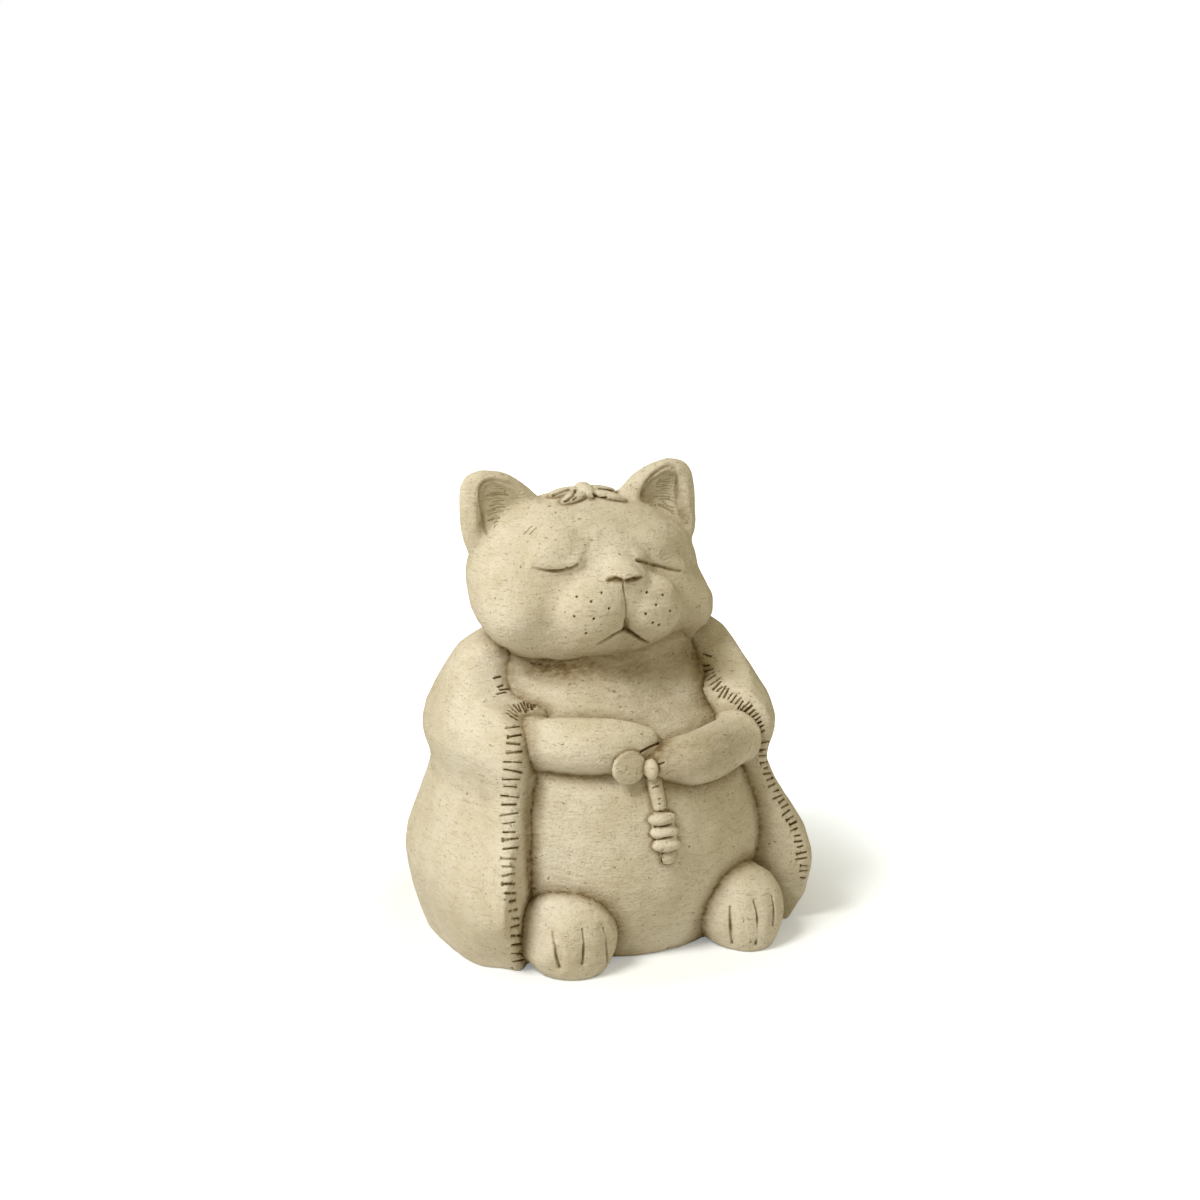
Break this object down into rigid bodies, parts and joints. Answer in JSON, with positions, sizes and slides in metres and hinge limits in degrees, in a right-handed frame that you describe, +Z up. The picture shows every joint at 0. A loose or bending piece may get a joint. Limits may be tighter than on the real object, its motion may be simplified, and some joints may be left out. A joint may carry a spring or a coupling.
{
  "type": "cat garden statue",
  "caption": "Cast-stone garden statue of a plump cat that sits with closed eyes in a stitched robe, forepaws folded over a knotted sash, with a moth on its crown.",
  "frame": {"origin": "on the ground, under the middle of the statue's bounding box", "axes": "+Z up, the cat faces -Y, its own left side is +X"},
  "size_m": [0.1948, 0.1848, 0.2305],
  "materials": {
    "cast_stone": "matt, brown stain in the hollows"
  },
  "bodies": {
    "root": {"torso": "cast_stone", "head": "cast_stone", "forearm_right": "cast_stone", "forearm_left": "cast_stone", "thumb": "cast_stone", "ear_right": "cast_stone", "eyelid_right": "cast_stone", "foot_right": "cast_stone", "ear_left": "cast_stone", "eyelid_left": "cast_stone", "foot_left": "cast_stone", "whisker_pad_right": "cast_stone", "whisker_pad_left": "cast_stone", "nose": "cast_stone", "chin": "cast_stone", "robe": "cast_stone", "sash_bead": "cast_stone", "sash_strap": "cast_stone", "knot_upper": "cast_stone", "knot_middle": "cast_stone", "knot_lower": "cast_stone", "sash_fringe": "cast_stone", "moth_body": "cast_stone", "wing_front_right": "cast_stone", "wing_rear_right": "cast_stone", "wing_front_left": "cast_stone", "wing_rear_left": "cast_stone"}
  },
  "joints": []
}
